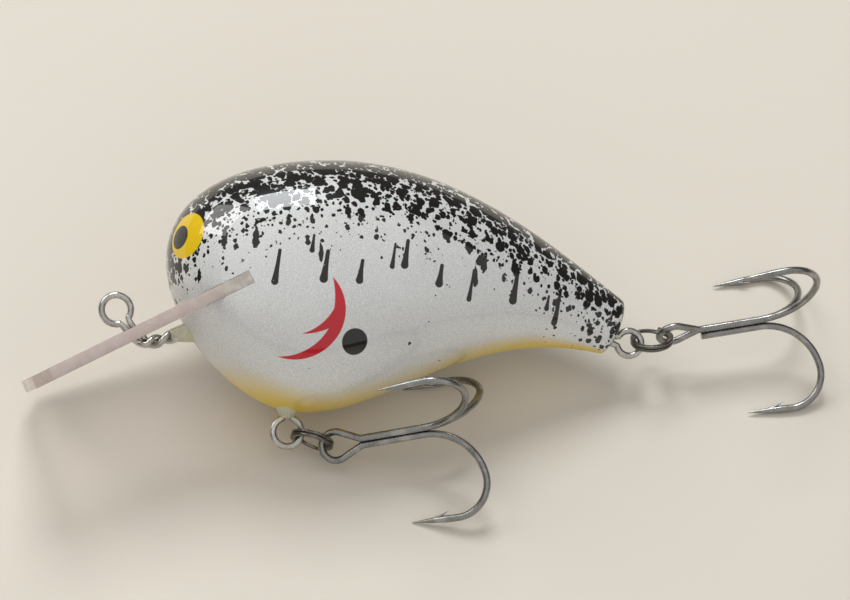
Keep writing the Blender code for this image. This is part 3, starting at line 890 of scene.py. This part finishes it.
@dataclass
class Shop:
    """What every sub-assembly needs: where the lure lies, and its finishes."""

    place: Matrix
    finishes: Finishes

    def add(
        self, piece: bpy.types.Object, body: str, slot: str, finish: bpy.types.Material, *nodes: str
    ) -> None:
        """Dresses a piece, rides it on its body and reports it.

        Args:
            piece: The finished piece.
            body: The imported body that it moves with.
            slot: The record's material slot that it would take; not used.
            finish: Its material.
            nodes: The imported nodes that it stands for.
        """
        piece.data.materials.clear()
        piece.data.materials.append(finish)
        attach(piece, body)
        if nodes:
            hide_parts(*nodes)
        log.info("%s rides on %s, %d faces", piece.name, body, len(piece.data.polygons))


@dataclass
class BodyShape:
    """The carved body: two outlines in side view, and a half width along it."""

    nose: tuple[float, float] = (-31.8, 3.4)
    crown: tuple[float, float] = (-9.2, 17.3)
    tail_top: tuple[float, float] = (31.4, -1.7)
    belly: tuple[float, float] = (-13.3, -17.3)
    tail_bottom: tuple[float, float] = (28.3, -9.2)
    top_handles: tuple = (((-31.8, 12.7), (-22.2, 17.3)), ((7.8, 17.3), (20.6, 6.5)))
    bottom_handles: tuple = (((-31.8, -7.1), (-21.3, -17.3)), ((-0.3, -17.3), (9.5, -5.2)))
    tail_dome: float = 1.3
    half_width: float = 13.0
    widest_x: float = -11.0
    tail_half_width: float = 2.6
    stations: int = 30
    segments: int = 96

    def outline(self, start: tuple, middle: tuple, end: tuple, handles: tuple) -> list[Vector]:
        """Points along two joined Bezier spans, without the first."""
        (front_out, front_in), (rear_out, rear_in) = handles
        count = self.stations + 1
        front = interpolate_bezier(flat(*start), flat(*front_out), flat(*front_in), flat(*middle), count)
        rear = interpolate_bezier(flat(*middle), flat(*rear_out), flat(*rear_in), flat(*end), count)
        return front[1:] + rear[1:]

    def back_line(self) -> tuple[tuple[float, float], ...]:
        """Heights along the back, for the paint to measure from."""
        tops = self.outline(self.nose, self.crown, self.tail_top, self.top_handles)
        step = self.stations // 5
        return (self.nose, *((point.x, point.z) for point in tops[step - 1 :: step]))

    def width_at(self, x: float) -> float:
        """Half the body's width at x."""
        if x < self.widest_x:
            share = min(1.0, (self.widest_x - x) / (self.widest_x - self.nose[0]))
            return self.half_width * (1 - share**2.4) ** 0.476
        share = min(1.0, (x - self.widest_x) / (self.tail_bottom[0] + 1.5 - self.widest_x))
        return self.tail_half_width + (self.half_width - self.tail_half_width) * (1 - share**1.8) ** 1.15

    def ring(self, bm: bmesh.types.BMesh, top: Vector, bottom: Vector, width: float, push: Vector) -> list:
        """One cross-section as a loop of edges.

        Args:
            bm: The mesh to add to.
            top: The section's point on the back.
            bottom: The section's point on the belly.
            width: Half its width.
            push: Moves the whole section.

        Returns:
            The loop's edges.
        """
        middle, half = (top + bottom) / 2, (top - bottom) / 2
        made = bmesh.ops.create_circle(bm, cap_ends=False, segments=self.segments, radius=1.0)["verts"]
        for vert in made:
            side, height = vert.co.x, vert.co.y
            power, root = (2.15, 0.465) if height > 0 else (2.5, 0.75)
            wide = math.copysign((1 - min(1.0, abs(height)) ** power) ** root, side)
            vert.co = middle + half * height + Vector((0, width * wide, 0)) + push
        return list({edge for vert in made for edge in vert.link_edges})

    def blank(self) -> bmesh.types.BMesh:
        """The body before anything is cut into it."""
        bm = bmesh.new()
        tops = self.outline(self.nose, self.crown, self.tail_top, self.top_handles)
        bottoms = self.outline(self.nose, self.belly, self.tail_bottom, self.bottom_handles)
        rings = []
        for top, bottom in zip(tops, bottoms):
            rings.append(self.ring(bm, top, bottom, self.width_at((top.x + bottom.x) / 2), Vector()))
        middle, across = (tops[-1] + bottoms[-1]) / 2, tops[-1] - bottoms[-1]
        backward = Vector((across.z, 0, -across.x)).normalized()
        for angle in range(15, 90, 15):
            shrink, rise = math.cos(math.radians(angle)), math.sin(math.radians(angle))
            half = across / 2 * shrink
            push = backward * self.tail_dome * rise
            rings.append(self.ring(bm, middle + half, middle - half, self.tail_half_width * shrink, push))
        for before, after in zip(rings, rings[1:]):
            bmesh.ops.bridge_loops(bm, edges=before + after)
        for ring, tip in ((rings[0], flat(*self.nose)), (rings[-1], middle + backward * self.tail_dome)):
            face = bmesh.ops.contextual_create(bm, geom=ring)["faces"][0]
            bmesh.ops.poke(bm, faces=[face])["verts"][0].co = tip
        bmesh.ops.recalc_face_normals(bm, faces=bm.faces)
        return bm


@dataclass
class Lip:
    """The diving lip, its slot in the body, and the epoxy that fills the slot beside it."""

    length: float = 32.0
    width: float = 19.8
    front_width: float = 20.8
    flare_start: float = 7.0
    thickness: float = 1.7
    slope: float = math.radians(26)
    root: tuple[float, float] = (-21.8, 0.6)
    clip: float = 2.4
    shoulder: float = 1.2
    hole: tuple[float, float] = (-36.3, -6.6)
    loop: tuple[float, float] = (-38.7, -3.2)

    def matrix(self) -> Matrix:
        """From the lip's own frame, X towards its tip and Z square to its face, to the lure's."""
        forward = Vector((-math.cos(self.slope), 0, -math.sin(self.slope)))
        side = Vector((0, -1, 0))
        turn = Matrix((forward, side, forward.cross(side))).transposed()
        return Matrix.Translation(flat(*self.root)) @ turn.to_4x4()

    def slot(self, side: Side | None, extra: float) -> bmesh.types.BMesh:
        """The sawn slot, or the part of it beyond the lip's edge on one side."""
        low = [-extra, -30.0, -self.thickness / 2 - extra]
        high = [self.length * 0.7, 30.0, self.thickness / 2 + extra]
        if side is Side.LEFT:
            low[1] = self.width / 2 + 0.03
        if side is Side.RIGHT:
            high[1] = -self.width / 2 - 0.03
        return box(low, high, self.matrix())

    def plate(self, shop: Shop) -> None:
        """The sheet, parallel in the slot and flared outside it, with clipped corners and broken edges."""
        half, front_half = self.width / 2, self.front_width / 2
        corners = [
            (0.0, half - self.shoulder),
            (self.shoulder, half),
            (self.flare_start, half),
            (self.length - self.clip, front_half),
            (self.length, front_half - self.clip),
        ]
        corners += [(x, -y) for x, y in reversed(corners)]
        bm = bmesh.new()
        face = bm.faces.new([bm.verts.new((x, y, -self.thickness / 2)) for x, y in corners])
        grown = bmesh.ops.extrude_face_region(bm, geom=[face])["geom"]
        moved = [item for item in grown if isinstance(item, bmesh.types.BMVert)]
        bmesh.ops.translate(bm, vec=(0, 0, self.thickness), verts=moved)
        bmesh.ops.recalc_face_normals(bm, faces=bm.faces)
        bmesh.ops.bevel(
            bm, geom=bm.edges[:], offset=0.06, affect="EDGES", segments=2, profile=0.5, material=-1
        )
        piece = piece_from("lip_plate", bm, shop.place @ self.matrix())
        way = (flat(*self.loop) - flat(*self.hole)).normalized()
        drill = rod(flat(*self.hole) - way * 2.5, flat(*self.hole) + way * 2.5, 1.3)
        carve(piece, [piece_from("lip_drill", drill, shop.place)], "DIFFERENCE")
        shop.add(piece, "lure", "clear_lip", shop.finishes.lip, "lip")
        piece.data.materials.append(shop.finishes.lip_edge)
        square = (shop.place @ self.matrix()).to_3x3().col[2].normalized()
        for polygon in piece.data.polygons:
            polygon.material_index = int(abs(polygon.normal.dot(square)) < 0.5)

    def nose_glue(self, shop: Shop) -> None:
        """The cone of epoxy where the line tie enters the nose."""
        cone = rod(flat(-28.4, -6.2), flat(-31.3, -6.75), 1.5, 0.85)
        bmesh.ops.bevel(
            cone, geom=cone.edges[:], offset=0.1, affect="EDGES", segments=3, profile=0.5, material=-1
        )
        piece = piece_from("nose_glue", cone, shop.place)
        shop.add(piece, "lure", "slot_epoxy", shop.finishes.nose_glue, "nose_glue_collar")

    def fill(self, shop: Shop, shape: BodyShape, side: Side) -> None:
        """The epoxy on one side, flush with the body."""
        word = side.name.lower()
        piece = piece_from(f"slot_fill_{word}", shape.blank(), shop.place)
        limit = piece_from(f"slot_limit_{word}", self.slot(side, 0.02), shop.place)
        carve(piece, [limit], "INTERSECT")
        shop.add(piece, "lure", "slot_epoxy", shop.finishes.epoxy, f"lip_glue_{word}")


@dataclass
class Hanger:
    """One wire bent to a loop, with its ends twisted together as a stem."""

    name: str
    loop: tuple[float, float]
    stem: tuple[tuple[float, float], ...]
    radius: float
    straight: float
    wire: float = 0.94
    gap: float = 0.05
    pitch: float = 4.4

    def line(self) -> list[Vector]:
        """The wire's middle line, from one end of the stem round the loop to the other."""
        centre = flat(*self.loop)
        stem = walk([centre, *(flat(*point) for point in self.stem)], 0.16)
        spread = (self.wire + self.gap) / 2
        first, second = [], []
        travelled = 0.0
        for before, here, after in zip(stem, stem[1:], stem[2:]):
            travelled += (here - before).length
            if travelled < self.radius + 0.55:
                continue
            side = (after - before).normalized().cross(Vector((0, 1, 0))).normalized()
            turn = max(0.0, travelled - self.radius - self.straight) * math.tau / self.pitch
            offset = side * math.cos(turn) + Vector((0, 1, 0)) * math.sin(turn)
            first.append(here + offset * spread)
            second.append(here - offset * spread)
        outward = (stem[1] - centre).normalized()
        side = outward.cross(Vector((0, 1, 0))).normalized()
        opening = math.asin(spread / self.radius) + math.radians(5)
        arc = []
        for i in range(61):
            angle = opening + (math.tau - 2 * opening) * i / 60
            arc.append(centre + (outward * math.cos(angle) + side * math.sin(angle)) * self.radius)
        return first[::-1] + arc + second

    def build(self, shop: Shop, node: str) -> None:
        """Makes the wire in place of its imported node."""
        piece = tube(self.name, self.line(), self.wire, shop.place)
        shop.add(piece, "lure", "hanger_wire", shop.finishes.wire, node)


@dataclass
class SplitRing:
    """Two flat turns of wire joined by a step."""

    radius: float = 2.68
    depth: float = 0.65
    width: float = 0.42
    gap: float = 0.08

    def mesh(self) -> bmesh.types.BMesh:
        """The ring about its own Z axis."""
        pitch = self.width + self.gap
        bm = bmesh.new()
        middle = Matrix.Translation((self.radius, 0, -pitch / 2)) @ Matrix.Rotation(math.pi / 2, 4, "X")
        size = Matrix.Diagonal((self.depth, self.width, 1.0, 1.0))
        bmesh.ops.create_grid(bm, x_segments=1, y_segments=1, size=0.5, matrix=middle @ size)
        bmesh.ops.bevel(
            bm, geom=bm.verts[:], offset=0.13, affect="VERTICES", segments=4, profile=0.5, material=-1
        )
        bmesh.ops.rotate(
            bm, cent=(0, 0, 0), matrix=Matrix.Rotation(math.radians(125), 3, "Z"), verts=bm.verts
        )
        geometry = [*bm.faces, *bm.edges, *bm.verts]
        turn, step = math.radians(295), math.radians(60)
        for angle, steps, rise in ((turn, 72, 0.0), (step, 16, pitch), (turn, 72, 0.0)):
            geometry = bmesh.ops.spin(
                bm,
                geom=geometry,
                cent=(0, 0, 0),
                axis=(0, 0, 1),
                dvec=(0, 0, rise / steps),
                angle=angle,
                steps=steps,
            )["geom_last"]
        bmesh.ops.recalc_face_normals(bm, faces=bm.faces)
        return bm


@dataclass
class Treble:
    """A double hook bent from one wire, with a single hook brazed in its groove."""

    eye_twist: float
    wire: float = 1.0
    braze_gap: float = 0.06
    eye_radius: float = 1.95
    eye_neck: float = 3.6
    shank_end: float = 12.2
    bends: tuple[tuple[float, float], ...] = ((7.6, math.radians(82)), (4.7, math.radians(183)))
    point_length: float = 6.3
    point_taper: float = 4.6
    barb_from_point: float = 3.6
    barb_length: float = 1.7
    barb_height: float = 1.0
    single_start: float = 3.9

    def outward(self, index: int) -> Vector:
        """Which way hook 0, the single, 1 or 2 stands out from the shank."""
        angle = math.radians(90 + 120 * index)
        return Vector((0, math.cos(angle), math.sin(angle)))

    def line(self, index: int) -> list[Vector]:
        """A hook's middle line, from the end of its shank to its point."""
        along, out, heading = self.shank_end, (self.wire + self.braze_gap) / math.sqrt(3), 0.0
        places = [(along, out)]
        for radius, until in self.bends:
            steps = round((until - heading) * radius / 0.3)
            turn = (until - heading) / steps
            for _ in range(steps):
                chord = 2 * radius * math.sin(turn / 2)
                along += chord * math.cos(heading + turn / 2)
                out += chord * math.sin(heading + turn / 2)
                heading += turn
                places.append((along, out))
        for i in range(1, 15):
            reach = self.point_length * i / 14
            places.append((along + reach * math.cos(heading), out + reach * math.sin(heading)))
        way = self.outward(index)
        return [Vector((a, 0, 0)) + way * r for a, r in places]

    def shares(self, line: Sequence[Vector]) -> list[float]:
        """The wire's share of its radius at each point, down to the tip."""
        left, shares = 0.0, [0.04]
        for before, after in zip(line[::-1], line[-2::-1]):
            left += (after - before).length
            shares.append(min(1.0, 0.04 + 0.96 * (left / self.point_taper) ** 0.75))
        return shares[::-1]

    def barb(self, piece: bpy.types.Object, index: int, place: Matrix) -> None:
        """Raises a barb on the side that faces the shank."""
        line = self.line(index)
        way = self.outward(index)
        back = (line[-2] - line[-1]).normalized()
        seat = line[-1] + back * self.barb_from_point
        tip = seat + back * self.barb_length - way * self.barb_height
        tool = piece_from(f"{piece.name}_barb_{index}", rod(seat - back * 0.7, tip, 0.34, 0.02), place)
        carve(piece, [tool], "UNION")

    def double(self, name: str, place: Matrix) -> bpy.types.Object:
        """One wire: point, bend, shank, eye, shank, bend and point."""
        left, right = self.line(1), self.line(2)
        neck_left = Vector((self.eye_neck, left[0].y, left[0].z))
        neck_right = Vector((self.eye_neck, right[0].y, right[0].z))
        reach = math.hypot(self.eye_neck, neck_left.y)
        tangent = math.acos(self.eye_radius / reach) + math.atan2(abs(neck_left.y), self.eye_neck)
        sign = math.copysign(1, neck_left.y)
        twist = Matrix.Rotation(math.radians(self.eye_twist), 3, "X")
        eye = []
        for i in range(65):
            angle = tangent + (math.tau - 2 * tangent) * i / 64
            point = Vector((self.eye_radius * math.cos(angle), sign * self.eye_radius * math.sin(angle), 0))
            eye.append(twist @ point + Vector((0, 0, left[0].z)))
        shank = [left[0].lerp(neck_left, i / 16) for i in range(1, 17)]
        back = [neck_right.lerp(right[0], i / 16) for i in range(16)]
        middle = [1.0] * (len(shank) + len(eye) + len(back))
        points = left[::-1] + shank + eye + back + right
        piece = tube(name, points, self.wire, place, self.shares(left)[::-1] + middle + self.shares(right))
        self.barb(piece, 1, place)
        self.barb(piece, 2, place)
        return piece

    def single(self, name: str, place: Matrix) -> bpy.types.Object:
        """The third hook."""
        line = self.line(0)
        start = Vector((self.single_start, line[0].y, line[0].z))
        points = [start.lerp(line[0], i / 16) for i in range(16)] + line
        piece = tube(name, points, self.wire, place, [1.0] * 16 + self.shares(line))
        self.barb(piece, 0, place)
        return piece


@dataclass
class Tackle:
    """A split ring on a hanger's loop and a treble on the ring, as they lie at rest."""

    station: Station
    loop: tuple[float, float]
    ring_angle: float
    ring_roll: float
    ring_reach: float
    shank_angle: float
    lateral: float
    treble_roll: float
    eye_reach: float
    eye_twist: float
    ring: SplitRing = field(default_factory=SplitRing)

    @staticmethod
    def turned(along: Vector, roll: float) -> Matrix:
        """A rotation whose X is along, with Y kept level and then rolled."""
        x = along.normalized()
        z = x.cross(Vector((0, 1, 0))).normalized()
        return Matrix((x, z.cross(x), z)).transposed().to_4x4() @ Matrix.Rotation(math.radians(roll), 4, "X")

    def build(self, shop: Shop) -> None:
        """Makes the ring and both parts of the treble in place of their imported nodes."""
        word = self.station.value
        angle = math.radians(self.ring_angle)
        ring_way = Vector((math.cos(angle), 0, math.sin(angle)))
        ring_centre = flat(*self.loop) + ring_way * self.ring_reach
        ring_place = shop.place @ Matrix.Translation(ring_centre) @ self.turned(ring_way, self.ring_roll)
        piece = piece_from(f"{word}_ring", self.ring.mesh(), ring_place)
        shop.add(piece, f"{word}_ring", "split_ring_steel", shop.finishes.ring, f"{word}_split_ring")
        shank, side = math.radians(self.shank_angle), math.radians(self.lateral)
        way = Vector((math.cos(shank) * math.cos(side), math.sin(side), math.sin(shank) * math.cos(side)))
        eye = ring_centre + ring_way * self.ring.radius + way * self.eye_reach
        place = shop.place @ Matrix.Translation(eye) @ self.turned(way, self.treble_roll)
        treble = Treble(self.eye_twist)
        for kind, piece in (
            ("double", treble.double(f"{word}_double_hook", place)),
            ("single", treble.single(f"{word}_single_hook", place)),
        ):
            node = f"{word}_treble_{kind}_hook"
            shop.add(piece, f"{word}_treble", "hook_steel", shop.finishes.hook, node)


@dataclass
class Body:
    """The painted body with its slot and bores."""

    shape: BodyShape
    lip: Lip
    bore: float = 1.15

    def build(self, shop: Shop) -> None:
        """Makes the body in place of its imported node."""
        piece = piece_from("painted_body", self.shape.blank(), shop.place)
        tools = {
            "slot": self.lip.slot(None, 0.06),
            "nose_bore": rod(flat(-18.3, -5.4), flat(-34.5, -7.2), self.bore),
            "tail_bore": rod(flat(16.3, -4.6), flat(32.5, -7.8), self.bore),
            "belly_bore": rod(flat(-15.4, -4.5), flat(-15.4, -19.9), self.bore),
        }
        carve(piece, [piece_from(name, bm, shop.place) for name, bm in tools.items()], "DIFFERENCE")
        shop.add(piece, "lure", "painted_balsa", shop.finishes.paint, "body", "belly_plug")
        web = rod(flat(-15.4, -16.4), flat(-15.4, -18.0), 1.7, 0.95)
        bmesh.ops.bevel(
            web, geom=web.edges[:], offset=0.12, affect="EDGES", segments=3, profile=0.5, material=-1
        )
        web_piece = piece_from("belly_paint_web", web, shop.place)
        shop.add(web_piece, "lure", "slot_epoxy", shop.finishes.nose_glue)


# ---------------------------------------------------------------- studio


@dataclass
class Studio:
    """A pale floor, soft lights and the camera, set out about the lure's middle."""

    centre: Vector
    focal: float = 180.0
    azimuth: float = math.radians(-7.85)
    elevation: float = math.radians(57.47)
    roll: float = math.radians(6.37)
    distance: float = 590.6
    aim: tuple[float, float, float] = (4.33, 2.21, -7.0)

    def floor(self) -> None:
        """A plain matt floor."""
        bm = bmesh.new()
        bmesh.ops.create_grid(bm, x_segments=1, y_segments=1, size=3.0)
        floor = piece_from("floor", bm, Matrix.Translation((0, 0, -0.00002)))
        made = bpy.data.materials.new("pale_floor")
        made.use_nodes = True
        m = NodeMaker(made.node_tree)
        shader = made.node_tree.nodes["Principled BSDF"]
        where = m.node("ShaderNodeTexCoord").outputs["Object"]
        soft = m.noise(where, 9.0, 2.0).outputs["Fac"]
        m.feed(shader.inputs["Base Color"], m.mix(soft, (0.77, 0.705, 0.61), (0.80, 0.75, 0.665)))
        shader.inputs["Roughness"].default_value = 0.65
        floor.data.materials.append(made)

    def light(
        self, name: str, place: Vector, target: Vector, size: float, power: float, tint: Colour
    ) -> None:
        """A square area light aimed at a point."""
        data = bpy.data.lights.new(name, "AREA")
        data.size = size
        data.energy = power
        data.color = tint
        lamp = bpy.data.objects.new(name, data)
        lamp.location = place
        lamp.rotation_euler = (target - place).to_track_quat("-Z", "Y").to_euler()
        bpy.context.scene.collection.objects.link(lamp)

    def lights(self) -> None:
        """A tall window behind, an overhead and a weak front fill."""
        middle = Vector((0, 0, 0.01))
        self.light("window", Vector((-0.1, 0.9, 1.05)), middle, 0.5, 8.5, (0.95, 0.98, 1.0))
        self.light("far_window", Vector((-0.9, 0.7, 0.9)), middle, 0.8, 7.0, (1.0, 0.98, 0.95))
        self.light("room", Vector((0.15, -1.1, 1.65)), middle, 5.0, 44.0, (1.0, 0.99, 0.98))
        world = bpy.data.worlds.new("room")
        world.use_nodes = True
        world.node_tree.nodes["Background"].inputs["Color"].default_value = (1.0, 0.97, 0.93, 1.0)
        world.node_tree.nodes["Background"].inputs["Strength"].default_value = 0.12
        bpy.context.scene.world = world
        bpy.context.scene.view_settings.view_transform = "Standard"

    def camera(self) -> None:
        """The camera, on its sphere about the lure."""
        away = Vector((
            math.sin(self.azimuth) * math.cos(self.elevation),
            -math.cos(self.azimuth) * math.cos(self.elevation),
            math.sin(self.elevation),
        ))
        right = Vector((math.cos(self.azimuth), math.sin(self.azimuth), 0))
        up = away.cross(right)
        turned_right = right * math.cos(self.roll) + up * math.sin(self.roll)
        turned_up = up * math.cos(self.roll) - right * math.sin(self.roll)
        data = bpy.data.cameras.new("camera")
        data.lens = self.focal
        data.sensor_width = 36.0
        data.clip_start = 0.01
        camera = bpy.data.objects.new("camera", data)
        turn = Matrix((turned_right, turned_up, away)).transposed().to_4x4()
        place = self.centre + (Vector(self.aim) + away * self.distance) * MM
        camera.matrix_world = Matrix.Translation(place) @ turn
        bpy.context.scene.collection.objects.link(camera)
        bpy.context.scene.camera = camera

    def build(self) -> None:
        """Sets up everything that isn't the lure."""
        self.floor()
        self.lights()
        self.camera()


def main() -> None:
    """Builds the lure's pieces in order, then the studio."""
    logging.basicConfig(level=logging.INFO, format="%(message)s")
    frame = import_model()
    belly_loop, tail_loop = (-15.4, -19.9), (32.5, -7.8)
    lure = LureFrame.from_joints(frame["joints"], flat(*belly_loop), flat(*tail_loop))
    shape, lip = BodyShape(), Lip()
    shop = Shop(lure.to_world, Finishes(lure.to_world, shape.back_line()))
    Body(shape, lip).build(shop)
    lip.plate(shop)
    lip.nose_glue(shop)
    for side in Side:
        lip.fill(shop, shape, side)
    line_tie_stem = ((-36.3, -6.6), (-34.6, -7.9), (-29.2, -6.3), (-18.5, -5.4))
    Hanger("line_tie", (-38.7, -3.2), line_tie_stem, 1.98, 3.4).build(shop, "line_tie_wire")
    Hanger("belly_loop_wire", belly_loop, ((-15.4, -4.6),), 1.98, 0.8).build(shop, "belly_hanger")
    Hanger("tail_loop_wire", tail_loop, ((16.5, -4.6),), 1.73, 0.8).build(shop, "tail_hanger")
    Tackle(Station.BELLY, belly_loop, -17.8, -13.0, 3.6, 9.4, -19.8, -61.0, 0.75, -29.0).build(shop)
    Tackle(Station.TAIL, tail_loop, 8.8, 30.0, 3.3, 9.0, -3.6, 180.4, 0.4, -30.0).build(shop)
    for material_slot in frame["nodes"]["belly_ballast"].material_slots:
        material_slot.material = shop.finishes.lead
    Studio(lure.to_world.translation.copy()).build()


if __name__ == "__main__":
    main()
